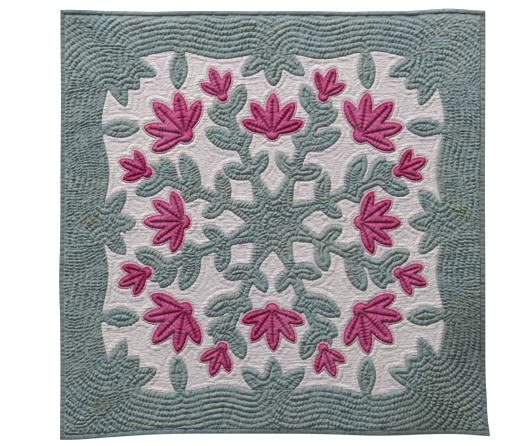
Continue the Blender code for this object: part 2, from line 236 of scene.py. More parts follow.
# Where the green cloth is calmer: two corners, each with its reach and share, and patches in the middle
CALM_CORNERS = ((0.46, 0.45), 0.16, 0.3), ((0.43, -0.45), 0.13, 0.9)
CRUMPLED_EDGE = 0.04
CRUMPLED_SHARE = 0.5
CRUMPLED_LAYERS = ((0.9, 0.045, 62),)

# The blossoms' cloths: the creases that run out from their seams, their domes and their veins
TICK_SPACING = (0.006, 0.0105)
TICK_REACH = 0.004
TICK_DEPTH = (0.1, 1.15)
TICK_FADE = 0.014
RIM_LOFT_LAYERS = ((0.15, 0.008, 6),)
PETAL_DOME = 0.008
PETAL_LOFT_LAYERS = ((0.14, 0.012, 5),)
VEIN_SHARE = (0.07, 0.82)
EDGE_DROP = 0.5
EDGE_DROP_REACH = 0.0006

STITCH_STEP = 0.0044
STITCH_LENGTH = 0.0023
STITCH_WIDTH = 0.0008
STITCH_RISE = 0.0001
STITCH_ROOM = 0.002

SEED = 7
FIELD_REACH = 0.7

# Cotton's threads, and the noises of its dye, slubs and wrinkles
THREAD = 0.00055
BROAD_DYE = {"Scale": 8.0, "Detail": 3.0, "Roughness": 0.62}
SMALL_DYE = {"Scale": 90.0, "Detail": 2.0, "Roughness": 0.6}
SLUBS = {"Scale": 420.0, "Detail": 2.0, "Roughness": 0.7}
WRINKLES = {"Scale": 110.0, "Detail": 3.0, "Roughness": 0.62}

# Each cloth's colour, its other tone where the dye differs, which also lightens the crowns as painted
# highlight and wear, and its darker colour painted in as shade in the rows' valleys
GROUND_COLOURS = (0.61, 0.545, 0.58), (0.645, 0.595, 0.585), (0.5, 0.44, 0.46)
LEAF_COLOURS = (0.211, 0.285, 0.302), (0.247, 0.3, 0.283), (0.126, 0.182, 0.175)
RIM_COLOURS = (0.66, 0.27, 0.4), (0.68, 0.34, 0.46), (0.42, 0.11, 0.21)
PETAL_COLOURS = (0.385, 0.016, 0.108), (0.54, 0.12, 0.275), (0.17, 0.001, 0.026)
BINDING_COLOURS = (0.16, 0.201, 0.218), (0.178, 0.216, 0.22), (0.105, 0.138, 0.142)

# Stains, and broad patches that make the colour lighter or darker: where, its reach, and what it multiplies
# the colour by
STAINS_AND_TONE_PATCHES = (
    ((0.49, -0.29), 0.15, (0.7, 0.67, 0.62)),
    ((0.4, -0.5), 0.13, (0.76, 0.76, 0.68)),
    ((0.0, 0.05), 0.45, (1.09, 1.03, 1.03)),
    ((-0.5, 0.53), 0.09, (0.8, 0.81, 0.82)),
    ((-0.33, 0.54), 0.14, (1.1, 1.09, 1.1)),
    ((0.1, 0.54), 0.26, (1.09, 1.08, 1.08)),
    ((-0.462, 0.006), 0.032, (0.96, 0.82, 0.76)),
    ((-0.436, -0.452), 0.036, (0.98, 0.78, 0.66)),
    ((-0.345, 0.505), 0.024, (1.1, 0.9, 0.86)),
    ((0.054, 0.065), 0.026, (1.0, 0.94, 0.74)),
    ((0.468, 0.035), 0.034, (0.96, 0.98, 0.76)),
    ((0.44, 0.46), 0.2, (1.1, 1.08, 1.11)),
)
# The bindings' patches: darker along the top and on parts of the left and bottom, lighter on part of the
# right and of the bottom.
BINDING_TONE_PATCHES = (
    ((0.53, 0.37), 0.25, (1.3, 1.2, 1.2)),
    ((-0.53, 0.15), 0.55, (0.88, 0.94, 0.98)),
    ((-0.49, 0.53), 0.06, (0.8, 0.8, 0.76)),
    ((-0.21, 0.53), 0.15, (0.74, 0.75, 0.72)),
    ((0.1, 0.53), 0.16, (0.78, 0.78, 0.76)),
    ((0.5, 0.53), 0.07, (0.74, 0.73, 0.7)),
    ((-0.34, -0.53), 0.28, (1.18, 1.21, 1.28)),
    ((0.03, -0.53), 0.13, (0.72, 0.76, 0.7)),
    ((0.28, -0.53), 0.18, (0.82, 0.83, 0.78)),
)

# The setting: the camera looks straight down, and one pixel at the quilt is PIXEL metres
PIXEL = 0.00251
PICTURE_WIDTH = 532
SENSOR_WIDTH = 36
VIEW_DISTANCE = 4.2
VIEW_MIDDLE = (-0.0213, 0.0025)
KEY_PLACE = (-1.85, 6.0, 3.05)
KEY_SIZE = 1.4
KEY_POWER = 780
WORLD_COLOUR = (0.95, 0.98, 1, 1)
WORLD_STRENGTH = 0.24
FLOOR_REACH = 30.0
FLOOR_DROP = 0.0002
FLOOR_COLOUR = (0.92, 0.92, 0.92, 1)


def limited(values):
    """Values kept between 0 and 1."""
    return np.clip(values, 0, 1)


def stacked(*columns):
    """Values side by side, as the columns of one array."""
    return np.column_stack(columns)


# The flat plan

def polar(radius, degrees):
    turn = np.radians(degrees)
    return np.array([radius * np.cos(turn), radius * np.sin(turn)])


def fold(x, y):
    """The point's place in the first eighth, as if the cloth were folded to be cut."""
    x, y = np.abs(x), np.abs(y)
    return np.maximum(x, y), np.minimum(x, y)


def joined(a, b, softness=JOINT_SOFTNESS):
    """The union of two shapes, with their inner corner rounded."""
    share = limited(0.5 + 0.5 * (b - a) / softness)
    return b + (a - b) * share - softness * share * (1 - share)


def leaf(x, y, base, tip, width, fullness, stalk):
    """How far outside a leaf each point is: below zero inside it."""
    length = np.hypot(*(tip - base))
    ahead = (tip - base) / length
    along = ((x - base[0]) * ahead[0] + (y - base[1]) * ahead[1]) / length
    across = np.abs((y - base[1]) * ahead[0] - (x - base[0]) * ahead[1])
    inside = limited(along)
    half = width / 2 * limited(np.sin(np.pi * inside**fullness)) ** 0.62
    half = np.maximum(half, np.where(inside < 0.5, stalk / 2, 0))
    beyond = np.abs(along - inside) * length
    return np.where(beyond > 0, np.hypot(np.maximum(across - half, 0), beyond), across - half)


def stem(x, y, angle, start, end):
    """How far outside a straight stem from the middle each point is."""
    ahead = polar(1, angle)
    along = np.clip(x * ahead[0] + y * ahead[1], start, end)
    return np.hypot(x - along * ahead[0], y - along * ahead[1]) - STEM_WIDTH / 2


def blossom(x, y, distance, angle, heading, size, petals, rim):
    """How far outside one blossom, grown by a rim, each point is."""
    foot = polar(distance, angle)
    stalk = size * STALK_SHARE + 2 * rim
    shape = np.hypot(x - foot[0], y - foot[1]) - size * FOOT_SHARE - rim
    for turn, length, width in PETALS[petals]:
        for side in (-1, 1):
            tip = foot + polar(length * size + rim, heading + side * turn)
            petal = leaf(x, y, foot, tip, size * width + 2 * rim, PETAL_FULLNESS, stalk)
            shape = joined(shape, petal, PETAL_SOFTNESS)
    return shape


def blossom_plan(x, y, rim):
    """All sixteen blossoms as one plan."""
    x, y = fold(x, y)
    shape = np.full(np.shape(x), FAR)
    for _, distance, angle, heading, size, petals in BLOSSOMS:
        shape = np.minimum(shape, blossom(x, y, distance, angle, heading, size, petals, rim))
    return shape


def rim_plan(x, y):
    return blossom_plan(x, y, RIM_WIDTH)


def petal_plan(x, y):
    return blossom_plan(x, y, 0.0)


def with_medallion(shape, x, y):
    """A shape in the first eighth joined with the rosette and an arm with its leaves."""
    radius, angle = np.hypot(x, y), np.arctan2(y, x)
    shape = joined(shape, radius - ROSETTE_RADIUS + ROSETTE_WAVE * np.cos(8 * angle))
    shape = joined(shape, stem(x, y, ARM_ANGLE, ARM_START, ARM_END))
    calyx = polar(CALYX_PLACE, ARM_ANGLE)
    shape = joined(shape, np.hypot(x - calyx[0], y - calyx[1]) - CALYX_RADIUS)
    for along, side, spread, length, width in ARM_LEAVES:
        base = polar(along, ARM_ANGLE)
        tip = base + polar(length, ARM_ANGLE + side * spread)
        shape = joined(shape, leaf(x, y, base, tip, width, *ARM_LEAF))
    return shape


def leaf_plan(x, y):
    """The green cloth, which stops short of the blossoms that lie beside it."""
    free = PATCH_GAP - rim_plan(x, y)
    x, y = fold(x, y)
    shape = BORDER_EDGE + SCALLOP_DEPTH * np.cos(2 * np.pi * y / SCALLOP_PITCH) - x
    for along, turn, length, width in BORDER_LEAVES:
        base = np.array([BORDER_EDGE + BORDER_LEAF_ROOT, along])
        shape = joined(shape, leaf(x, y, base, base + polar(length, 180 - turn), width, *BORDER_LEAF))
    base = np.array([BORDER_EDGE + CORNER_LEAF_ROOT, BORDER_EDGE + CORNER_LEAF_ROOT])
    for turn, length, width in CORNER_LEAVES:
        shape = joined(shape, leaf(x, y, base, base + polar(length, 225 + turn), width, *CORNER_LEAF))
    return np.maximum(with_medallion(shape, x, y), free)


def inner_part(x, y):
    """Below zero on and close round the medallion, which the border never touches."""
    x, y = fold(x, y)
    return with_medallion(np.full(np.shape(x), FAR), x, y) - MEDALLION_MARGIN


def outer_part(x, y):
    return -inner_part(x, y)


def cover_plan(x, y):
    """How far outside the green cloths and the rims each point is."""
    return np.minimum(leaf_plan(x, y), rim_plan(x, y))


def swell(along, places):
    """The sum of soft bumps along an edge, each with its place, reach and height."""
    total = np.zeros(np.shape(along))
    for place, reach, height in places:
        total = total + height * np.exp(-(((along - place) / reach) ** 2))
    return total


def swollen(x, y):
    """Where a point of the flat plan lies on the quilt, whose edges aren't straight."""
    right = (0.5 + x / WIDTH) ** 2 * swell(y, RIGHT_SWELL)
    left = (0.5 - x / WIDTH) ** 2 * swell(y, LEFT_SWELL)
    top = (0.5 + y / HEIGHT) ** 2 * swell(x, TOP_SWELL)
    bottom = (0.5 - y / HEIGHT) ** 2 * swell(x, BOTTOM_SWELL)
    inside = limited(1 - (2 * x / WIDTH) ** 2) * limited(1 - (2 * y / HEIGHT) ** 2)
    drift_x = DRIFT * inside * np.sin(17 * y + 1.3) * np.cos(11 * x - 0.4)
    drift_y = DRIFT * inside * np.sin(15 * x - 0.8) * np.cos(13 * y + 0.9)
    return x + right - left + drift_x, y + top - bottom + drift_y


def plan_shift():
    """How far the plan's middle lies from the middle of the quilt's box, which is the origin."""
    along = np.linspace(-0.5, 0.5, 201)
    end = np.full(201, 0.5)
    x = np.concatenate([along, along, end, -end]) * WIDTH
    y = np.concatenate([end, -end, along, along]) * HEIGHT
    x, y = swollen(x, y)
    return (x.min() + x.max()) / 2, (y.min() + y.max()) / 2


SHIFT = plan_shift()


def settled(places):
    """Plan points as they lie on the quilt."""
    x, y = swollen(places[:, 0], places[:, 1])
    return stacked(x - SHIFT[0], y - SHIFT[1])


# Soft random unevenness

def unevenness(places, size, seed):
    """Smooth random values from -1 to 1 over the plan, with bumps of one size."""
    count = int(2 * FIELD_REACH / size) + 4
    values = np.random.default_rng(SEED * 1000 + seed).uniform(-1, 1, (count, count))
    across = (places + FIELD_REACH) / size
    cell = np.clip(np.floor(across).astype(int), 0, count - 2)
    part = across - cell
    part = part * part * (3 - 2 * part)
    i, j = cell[:, 0], cell[:, 1]
    low = values[i, j] * (1 - part[:, 0]) + values[i + 1, j] * part[:, 0]
    high = values[i, j + 1] * (1 - part[:, 0]) + values[i + 1, j + 1] * part[:, 0]
    return low * (1 - part[:, 1]) + high * part[:, 1]


def layered(places, layers, start=0.0, seed=0):
    """A start value with layers of unevenness, each with its share, size and seed."""
    total = start
    for share, size, number in layers:
        total = total + share * unevenness(places, size, seed + number)
    return total


# Meshes over the plan

def lattice(cell, low, high):
    """Points in staggered rows, and the faces between them."""
    columns = int((high[0] - low[0]) / cell) + 2
    rows = int((high[1] - low[1]) / (cell * TRIANGLE_HEIGHT)) + 2
    column, row = np.meshgrid(np.arange(columns), np.arange(rows))
    x = low[0] + (column + 0.5 * (row % 2)) * cell
    y = low[1] + row * cell * TRIANGLE_HEIGHT
    points = stacked(x.ravel(), y.ravel())
    here = (row * columns + column)[:-1, :-1]
    right, above = here + 1, here + columns
    corner = above + 1
    odd = (row[:-1, :-1] % 2 == 1)[..., None]
    first = np.where(odd, np.stack([here, right, corner], -1), np.stack([here, right, above], -1))
    second = np.where(odd, np.stack([here, corner, above], -1), np.stack([right, corner, above], -1))
    return points, np.concatenate([first.reshape(-1, 3), second.reshape(-1, 3)])


def slope(plan, places):
    """A plan's gradient."""
    x, y = places[:, 0], places[:, 1]
    rise_x = plan(x + PROBE, y) - plan(x - PROBE, y)
    rise_y = plan(x, y + PROBE) - plan(x, y - PROBE)
    return stacked(rise_x, rise_y) / (2 * PROBE)


def face_sides(faces):
    """The three sides of each triangle, each running with it."""
    return faces[:, [0, 1, 1, 2, 2, 0]].reshape(-1, 2)


def crossings(points, faces, value):
    """Where a field's zero line crosses faces: each crossing's key and place, and each side's number."""
    pairs = np.sort(face_sides(faces), axis=1)
    pairs = pairs[(value[pairs[:, 0]] < 0) != (value[pairs[:, 1]] < 0)]
    keys, numbers = np.unique(pairs[:, 0] * len(points) + pairs[:, 1], return_inverse=True)
    a, b = keys // len(points), keys % len(points)
    share = value[a] / (value[a] - value[b])
    return keys, points[a] + share[:, None] * (points[b] - points[a]), numbers


def cut_out(points, faces, plan, cell):
    """The part of a lattice where a plan is below zero, cut along its outline."""
    snap = 0.3 * cell
    value = plan(points[:, 0], points[:, 1])
    near = np.flatnonzero(np.abs(value) < snap)
    for _ in range(2):
        rise = slope(plan, points[near])
        steep = np.maximum((rise**2).sum(axis=1), 0.25)
        points[near] -= (value[near] / steep)[:, None] * rise
        value[near] = plan(points[near, 0], points[near, 1])
    value[near] = np.where(np.abs(value[near]) < snap / 6, 0, value[near])
    value = np.where(value == 0, BARELY, value)
    inside = value[faces] < 0
    faces = faces[inside.any(axis=1)]
    inside = value[faces] < 0
    keys, extra, _ = crossings(points, faces, value)
    whole = [faces[inside.all(axis=1)]]

    def crossing(a, b):
        low, high = np.minimum(a, b), np.maximum(a, b)
        return len(points) + np.searchsorted(keys, low * len(points) + high)

    for count in (1, 2):
        some = inside.sum(axis=1) == count
        odd_one = inside[some] == (count == 1)
        first = odd_one.argmax(axis=1)
        row = np.arange(len(first))
        a, b, c = (faces[some][row, (first + turn) % 3] for turn in range(3))
        ab, ac = crossing(a, b), crossing(a, c)
        if count == 1:
            whole.append(stacked(a, ab, ac))
        else:
            whole.append(stacked(ab, b, c))
            whole.append(stacked(ab, c, ac))
    return tidied(np.vstack([points, extra]), np.vstack(whole))


def tidied(points, faces):
    """Points and faces with the unused points gone and near-equal ones joined."""
    rounded = np.round(points / JOIN_DISTANCE).astype(np.int64)
    _, first, same = np.unique(rounded, axis=0, return_index=True, return_inverse=True)
    same = same.reshape(-1)
    points, faces = points[first], same[faces]
    a, b, c = faces.T
    faces = faces[(a != b) & (b != c) & (c != a)]
    used, numbers = np.unique(faces, return_inverse=True)
    return points[used], numbers.reshape(-1, 3)


def open_edges(faces):
    """The edges with one triangle beside them, each running with its triangle."""
    edges = face_sides(faces)
    _, first, counts = np.unique(np.sort(edges, axis=1), axis=0, return_index=True, return_counts=True)
    return edges[first[counts == 1]]


def chains(edges):
    """Loops and lines of point numbers from separate edges."""
    beside = {}
    for a, b in edges.tolist():
        beside.setdefault(a, []).append(b)
        beside.setdefault(b, []).append(a)
    lines, used = [], set()
    for start in [p for p, others in beside.items() if len(others) == 1] + list(beside):
        line, ahead = [], [start]
        while ahead:
            here = ahead.pop()
            if here not in used:
                used.add(here)
                line.append(here)
                ahead = [there for there in beside[here] if there not in used][:1]
        if len(line) > 2:
            lines.append(line + [line[0]] if line[0] in beside[line[-1]] else line)
    return lines


def level_lines(points, faces, value, level):
    """The lines on a lattice along which a field has one value."""
    value = np.where(value == level, BARELY, value - level)
    below = value[faces] < 0
    split = faces[below.any(axis=1) & ~below.all(axis=1)]
    _, places, ends = crossings(points, split, value)
    return [places[line] for line in chains(ends.reshape(-1, 2))]


def reach_along(line):
    """How far along a line each of its points is."""
    return np.concatenate([[0], np.cumsum(np.hypot(*np.diff(line, axis=0).T))])


def at_stops(line, stops):
    """The places at some distances along a line, and its direction at each."""
    reach = reach_along(line)

    def place(distances):
        return np.column_stack([np.interp(distances, reach, line[:, axis]) for axis in (0, 1)])

    ahead = place(stops + 0.001) - place(stops - 0.001)
    return place(stops), ahead / np.maximum(np.hypot(*ahead.T), 1e-9)[:, None]


def spaced(line, step):
    """Places a step apart along a line, and its direction at each."""
    return at_stops(line, np.arange(step / 2, reach_along(line)[-1], step))


def tree_of(places):
    tree = kdtree.KDTree(len(places))
    for number, place in enumerate(places.tolist()):
        tree.insert((place[0], place[1], 0), number)
    tree.balance()
    return tree


def nearest(tree, places):
    """The distance to the nearest point of a tree, and its number."""
    found = [tree.find((x, y, 0)) for x, y in places.tolist()]
    return np.array([hit[2] for hit in found]), np.array([hit[1] for hit in found])


# Everything that the quilting follows, worked out once

ROW_POINTS, ROW_FACES = lattice(ROW_CELL, -HALF, HALF)


def outlines(plan):
    """The outlines of the cloths of one kind."""
    return level_lines(ROW_POINTS, ROW_FACES, plan(*ROW_POINTS.T), 0.0)


LEAF_LINES, RIM_LINES, PETAL_LINES = (outlines(plan) for plan in (leaf_plan, rim_plan, petal_plan))
EDGES = np.vstack([spaced(line, EDGE_STEP)[0] for line in LEAF_LINES + RIM_LINES])
EDGE_TREE = tree_of(EDGES)


def row_distance(places, away):
    """The distance that spaces the quilting rows: the true one with the sewer's wandering."""
    wander = layered(places, ROW_WANDER_LAYERS)
    return away + ROW_WANDER * wander * limited(away / ROW_WANDER_FROM)


def all_rows():
    """The stitched rows, and the lines midway between them."""
    away = nearest(EDGE_TREE, ROW_POINTS)[0]
    value = row_distance(ROW_POINTS, away)
    rows, middles = [], []
    for number in range(int(value.max() / ROW_PITCH) + 1):
        if number:
            rows += level_lines(ROW_POINTS, ROW_FACES, value, number * ROW_PITCH)
        middles += level_lines(ROW_POINTS, ROW_FACES, value, (number + 0.5) * ROW_PITCH)
    return rows, middles


ROWS, ROW_MIDDLES = all_rows()


def all_creases():
    """The creases across the bands: their places, the bands' directions, slants and depths."""
    dice = np.random.default_rng(SEED)
    places, ways = [], []
    for line in ROW_MIDDLES:
        stops = np.cumsum(dice.uniform(*CREASE_SPACING, CREASE_COUNT))
        place, way = at_stops(line, stops[stops < reach_along(line)[-1]])
        places.append(place)
        ways.append(way)
    places, ways = np.vstack(places), np.vstack(ways)
    spread = dice.normal(0, SLANT_SPREAD, len(places))
    slants = CREASE_SLANT * (unevenness(places, SLANT_SIZE, 8) + spread)
    slants = slants - CREASE_LEAN * (ways[:, 0] ** 2 - ways[:, 1] ** 2)
    depths = dice.uniform(*CREASE_DEPTH, len(places)) * (1.15 - 0.5 * places[:, 1])
    return places, ways, slants, depths


CREASES = all_creases()
CREASE_TREE = tree_of(CREASES[0])


def notch(away, reach):
    """The shape of a crease: one at its bottom and none at its reach, with round shoulders."""
    return 1 - np.sin(np.pi / 2 * limited(np.abs(away) / reach)) ** 0.7


def all_folds():
    """The long folds in four directions: where their lines are, and how deep."""
    dice = np.random.default_rng(SEED + 2)
    found = []
    for _ in FOLD_WAYS:
        stops = np.cumsum(dice.uniform(*FOLD_SPACING, FOLD_COUNT)) - FOLDS_START
        found.append((stops, dice.uniform(*FOLD_STRENGTH, FOLD_COUNT)))
    return found


FOLDS = all_folds()


def crumpling(places):
    """How crumpled the green cloth is: less in two corners, and in patches in the middle."""
    inside = limited((BORDER_EDGE - np.abs(places).max(axis=1)) / CRUMPLED_EDGE)
    patches = np.clip(layered(places, CRUMPLED_LAYERS, CRUMPLED_SHARE), 0.1, 1)
    crumpled = 1 - inside * (1 - patches)
    for corner, reach, share in CALM_CORNERS:
        crumpled = crumpled * (1 - share * np.exp(-((places - corner) ** 2).sum(axis=1) / reach**2))
    return crumpled


def folds(places, outward, rows_away, level):
    """The long fold near each point: how strong it is, how far off, and which way that lies."""
    strength = np.zeros(len(places))
    away = np.full(len(places), FAR)
    way = np.zeros((len(places), 2))
    row = np.floor(rows_away / ROW_PITCH)
    across = rows_away - (row + 0.5) * ROW_PITCH
    slant = layered(places, FOLD_SLANT_LAYERS, FOLD_SLANT)
    share = 1 if level else crumpling(places)
    for number, (stops, strengths) in enumerate(FOLDS):
        turn, most, least = FOLD_WAYS[number]
        facing = np.abs(outward @ polar(1, 45 * number))
        aligned = limited((facing - least) / ALIGNED_SOFTNESS)
        if level:
            aligned = float(number == 0)
        ahead = polar(1, 45 * number + turn)
        offset = places[:, 1] * ahead[0] - places[:, 0] * ahead[1]
        warp = layered(places, FOLD_WARP_LAYERS, seed=number)
        in_row = stacked(0.23 * row % 1.2 - 0.6, 0.85 * offset)
        shift = FOLD_SHIFT * unevenness(in_row, FOLD_SHIFT_SIZE, 61)
        offset = offset + FOLD_WARP * warp + shift + slant * across
        line = np.clip(np.searchsorted((stops[1:] + stops[:-1]) / 2, offset), 0, len(stops) - 1)
        patches = limited(layered(places, FOLD_PATCH_LAYERS, 1, number))
        here = most * aligned * patches * strengths[line] * share
        better = here > strength
        strength = np.where(better, here, strength)
        away = np.where(better, offset - stops[line], away)
        way[better] = (-ahead[1], ahead[0])
    return strength, away, way


def snapped(places, near, offset, way, cell):
    """Points moved back along their ways by their offsets where these are small, and what is left."""
    near = near & (np.abs(offset) < SNAP * cell)
    return places - (near * offset)[:, None] * way, np.where(near, 0, offset)


def snapped_to_creases(places, free, cell):
    """The free points moved onto the short creases, and how deep they lie in these."""
    _, number = nearest(CREASE_TREE, places)
    middle, way, slant, depth = (values[number] for values in CREASES)
    offset = places - middle
    along = (offset * way).sum(axis=1)
    across = offset[:, 1] * way[:, 0] - offset[:, 0] * way[:, 1]
    places, short = snapped(places, free, along + slant * across, way, cell)
    return places, depth * notch(short, CREASE_REACH)


def snapped_to_rows(places, away, number, cell):
    """Points moved onto the rows that pass by them, and their row distances."""
    rows_away = row_distance(places, away)
    row = np.round(rows_away / ROW_PITCH)
    short = row * ROW_PITCH - rows_away
    outward = (places - EDGES[number]) / np.maximum(away, 1e-6)[:, None]
    near = (np.abs(short) < SNAP * cell) & (row > 0)
    places = places + (near * short)[:, None] * outward
    return places, np.where(near, row * ROW_PITCH, rows_away), outward, near


def snapped_to_folds(places, outward, rows_away, free, cell, level):
    """The free points moved onto the folds, and how deep they lie in these."""
    strength, away, way = folds(places, outward, rows_away, level)
    places, away = snapped(places, free & (strength > FOLD_WINS), away, way, cell)
    return places, strength * notch(away, FOLD_REACH), strength


def quilted(places, cell, crumple=1.0, level=False):
    """Mesh points on the rows' valleys, how puffed each one is, and how far from an edge."""
    start = places
    bound = (HALF - np.abs(places)).min(axis=1) < BOUND_SHARE * BINDING_WIDTH
    away, number = nearest(EDGE_TREE, places)
    places, rows_away, outward, held = snapped_to_rows(places, away, number, cell)
    free = ~held & (away > cell)
    places, long, strength = snapped_to_folds(places, outward, rows_away, free, cell, level)
    places, short = snapped_to_creases(places, free & (strength <= FOLD_WINS), cell)
    short = short * limited(CREASE_YIELD - strength)
    if not level:
        inner = np.abs(places).max(axis=1) < BORDER_EDGE
        short = short * np.where(inner, 0.70 + 0.30 * crumpling(places), 1)
    puff = np.abs(np.sin(np.pi * rows_away / ROW_PITCH)) ** ARCH
    puff = puff * (EDGE_LOFT + (1 - EDGE_LOFT) * limited(away / ROW_PITCH - 0.5))
    puff = 1 - (1 - puff) * (1 - ROW_FILL * limited(strength - ROW_FILL_FROM))
    puff = puff * (1 - crumple * limited(np.maximum(long, short)))
    return np.where(bound[:, None], start, places), puff * layered(places, LOFT_LAYERS, 1), away


# Materials

def feed(tree, socket, value):
    """Gives a socket its link or its value."""
    if isinstance(value, bpy.types.NodeSocket):
        tree.links.new(value, socket)
    else:
        socket.default_value = value


def node(tree, kind, **inputs):
    """A shader node with its settings and its sockets' values or links."""
    made = tree.nodes.new("ShaderNode" + kind)
    for name, value in inputs.items():
        if hasattr(made, name):
            setattr(made, name, value)
        else:
            feed(tree, made.inputs[name.replace("_", " ")], value)
    return made


def mixed(tree, share, first, second, blend="MIX"):
    """A colour between two, by a share from 0 to 1."""
    mix = node(tree, "Mix", data_type="RGBA", blend_type=blend)
    for number, value in ((0, share), (6, first), (7, second)):
        feed(tree, mix.inputs[number], (*value, 1) if isinstance(value, tuple) else value)
    return mix.outputs[2]


def ranged(tree, value, low, high, to_low=0.0, to_high=1.0):
    ends = {"From_Min": low, "From_Max": high, "To_Min": to_low, "To_Max": to_high}
    return node(tree, "MapRange", Value=value, **ends).outputs["Result"]


def stained_and_patched(tree, tone, place, stains):
    """A colour with soft-edged stains and broad lighter and darker patches."""
    for spot, reach, tint in stains:
        away = node(tree, "VectorMath", operation="DISTANCE", Vector=place)
        away.inputs[1].default_value = (*spot, 0.0)
        share = ranged(tree, away.outputs["Value"], 0.2 * reach, reach, 1.0, 0.0)
        tone = mixed(tree, share, tone, tint, "MULTIPLY")
    return tone


def dyed(tree, place, colours, valley_shade, valley_shade_end, wear_and_highlight, stains):
    """The cloth's colour: uneven dye, lighter crowns painted as highlight and wear, painted shade in the
    rows' valleys, stains, lighter and darker patches, and slubs.
    """
    colour, other, deep = colours
    noises = [node(tree, "TexNoise", Vector=place, **noise) for noise in (BROAD_DYE, SMALL_DYE, SLUBS)]
    broad, small, slubs = (noise.outputs["Fac"] for noise in noises)
    puff = node(tree, "Attribute", attribute_name="puff").outputs["Fac"]
    tone = mixed(tree, ranged(tree, broad, 0.38, 0.62), colour, other)
    tone = mixed(tree, ranged(tree, small, 0.35, 0.65, 0.0, 0.6), tone, other)
    # Painted highlight, with some wear: the crowns of the puffs turn towards the lighter tone.
    tone = mixed(tree, ranged(tree, puff, 0.7, 1.2, 0.0, wear_and_highlight), tone, other)
    # Painted shade: the colour turns to the deep tone where the puff is low, in the rows' valleys and at the
    # seams.
    tone = mixed(tree, ranged(tree, puff, 0.02, valley_shade_end, valley_shade, 0.0), tone, deep)
    tone = stained_and_patched(tree, tone, place, stains)
    grain = ranged(tree, slubs, 0.3, 0.7, 0.90, 1.10)
    shade = node(tree, "CombineColor", Red=grain, Green=grain, Blue=grain).outputs["Color"]
    return mixed(tree, 1.0, tone, shade, "MULTIPLY")


def woven(tree, place, wrinkles, stretch):
    """The cloth's fine relief: its weave, and small wrinkles that run one way."""
    pitch = 2 * math.pi / (20 * THREAD)
    weave = node(tree, "Math", operation="ADD")
    for number, direction in enumerate("XY"):
        threads = node(tree, "TexWave", Vector=place, Scale=pitch, bands_direction=direction, Distortion=0.4)
        tree.links.new(threads.outputs["Fac"], weave.inputs[number])
    across = node(tree, "Mapping", Vector=place, Scale=(1.0, stretch, 1.0)).outputs["Vector"]
    creases = node(tree, "TexNoise", Vector=across, **WRINKLES).outputs["Fac"]
    fine = node(tree, "Bump", Strength=0.35, Distance=0.0003, Height=weave.outputs[0]).outputs["Normal"]
    rough = node(tree, "Bump", Strength=0.8 * wrinkles, Distance=0.0020, Height=creases, Normal=fine)
    return rough.outputs["Normal"]


def shaded(name, **values):
    """A new material and its shader, with values for some of its sockets."""
    material = bpy.data.materials.new(name)
    material.use_nodes = True
    shader = material.node_tree.nodes["Principled BSDF"]
    for socket, value in values.items():
        shader.inputs[socket.replace("_", " ")].default_value = value
    return material, shader


def cotton(name, colours, valley_shade, valley_shade_end=0.4, wear_and_highlight=0.0, shine=0.15, wrinkles=1.0, stretch=2.2, stains=()):
    """Plain-woven cotton, with painted shade that darkens it in the rows' valleys."""
    tint = (*[math.sqrt(part) for part in colours[0]], 1)
    sheen = {"Sheen_Weight": 0.6 * shine, "Sheen_Roughness": 0.6, "Sheen_Tint": tint}
    material, shader = shaded(name + "_cotton_cloth", Roughness=0.9, Specular_IOR_Level=shine, **sheen)
    tree = material.node_tree
    place = node(tree, "TexCoord").outputs["Object"]
    tone = dyed(tree, place, colours, valley_shade, valley_shade_end, wear_and_highlight, stains)
    tree.links.new(tone, shader.inputs["Base Color"])
    tree.links.new(woven(tree, place, wrinkles, stretch), shader.inputs["Normal"])
    return material


# Pieces

def placed(name, data):
    """A new object in the scene."""
    made = bpy.data.objects.new(name, data)
    bpy.context.scene.collection.objects.link(made)
    return made


def piece(name, cloth, material, *nodes):
    """One cloth as a smooth mesh that stands for its solids."""
    places, heights, faces, puff = cloth
    mesh = bpy.data.meshes.new(name)
    mesh.from_pydata(stacked(settled(places), heights).tolist(), [], faces.tolist())
    mesh.polygons.foreach_set("use_smooth", [True] * len(mesh.polygons))
    mesh.attributes.new("puff", "FLOAT", "POINT").data.foreach_set("value", np.asarray(puff, np.float32))
    mesh.materials.append(material)
    made = placed(name, mesh)
    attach(made, "root")
    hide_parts(*nodes)
    return made


def cut_cloth(name, cloth, material, turned=True):
    """A cloth that was cut to its flat outline and lies sewn on another."""
    places, _, faces, _ = cloth
    width, length = np.ptp(places, axis=0)
    made = piece(name + "_cloth", with_turned_edge(*cloth) if turned else cloth, material, name)


def with_turned_edge(places, heights, faces, puff):
    """The surface with its outline folded under: one more ring, lower and further in."""
    edges = open_edges(faces)
    ring, numbers = np.unique(edges, return_inverse=True)
    numbers = numbers.reshape(-1, 2)
    way = places[edges[:, 1]] - places[edges[:, 0]]
    inward = np.zeros((len(ring), 2))
    for end in (0, 1):
        np.add.at(inward, numbers[:, end], stacked(-way[:, 1], way[:, 0]))
    inward /= np.maximum(np.hypot(*inward.T), 1e-9)[:, None]
    under = places[ring] + TURN_INSET * inward
    a, b = edges.T
    low_a, low_b = len(places) + numbers.T
    skirt = np.vstack([stacked(b, a, low_a), stacked(b, low_a, low_b)])
    return (
        np.vstack([places, under]),
        np.concatenate([heights, heights[ring] - FOLD_DEPTH]),
        np.vstack([faces, skirt]),
        np.concatenate([puff, puff[ring]]),
    )


def held_down(places):
    """The share of the border's puff that the bindings beside it leave."""
    room = HALF - BINDING_WIDTH - np.abs(places)
    share = limited(room / (SIDE_HOLD, BOTTOM_HOLD)).min(axis=1)
    upper = np.minimum(share, np.interp(room[:, 1], *TOP_HOLD))
    return np.where(places[:, 1] > 0, upper, share)


